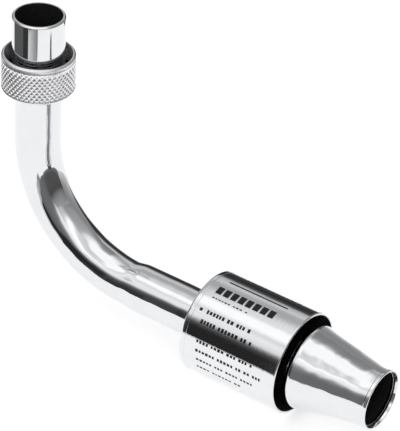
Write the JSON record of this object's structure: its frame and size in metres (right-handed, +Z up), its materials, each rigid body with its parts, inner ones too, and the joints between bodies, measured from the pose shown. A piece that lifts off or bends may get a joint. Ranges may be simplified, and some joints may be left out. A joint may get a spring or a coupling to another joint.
{
  "type": "gas burner mixing tube",
  "caption": "Bent venturi tube that mixes gas with air for a small burner, with a knurled coupling nut, a wind shield and a tapered valve mouth.",
  "frame": {"origin": "centre of the seat collar's top face, where the burner's socket stands and the spigot begins", "axes": "+Z up along the spigot, +X out of the valve mouth, so the bend lies in the XZ plane"},
  "size_m": [0.2479, 0.0572, 0.1716],
  "materials": {
    "tube_chrome": "mirror-polished chromium-plated steel",
    "spigot_chrome": "mirror-polished chromium-plated steel",
    "collar_steel": "turned steel, heat-tinted by brazing",
    "washer_steel": "stamped steel",
    "nut_chrome": "chromium plate over a rolled diamond knurl",
    "shield_chrome": "mirror-polished chromium-plated steel",
    "hub_brass": "turned brass",
    "rivet_steel": "plain steel",
    "bell_chrome": "mirror-polished chromium-plated steel",
    "nozzle_brass": "turned brass",
    "print_ink": "thin grey screen-printed ink on the wind shield"
  },
  "bodies": {
    "root": {"elbow_tube": "tube_chrome", "spigot_sleeve": "spigot_chrome", "seat_collar": "collar_steel", "rear_cap": "shield_chrome", "wind_shield": "shield_chrome", "bell_hub": "hub_brass", "hub_rivets": "rivet_steel", "mixer_bell": "bell_chrome", "throat_nozzle": "nozzle_brass"},
    "washer": {"thrust_washer": "washer_steel"},
    "nut": {"coupling_nut": "nut_chrome"}
  },
  "joints": [
    {"name": "nut_slide", "type": "slide", "parent": "root", "child": "washer", "axis": [0, 0, 1], "range_m": [-0.03, 0]},
    {"name": "nut_spin", "type": "hinge", "parent": "washer", "child": "nut", "pos_m": [0, 0, 0], "axis": [0, 0, 1], "continuous": true}
  ]
}
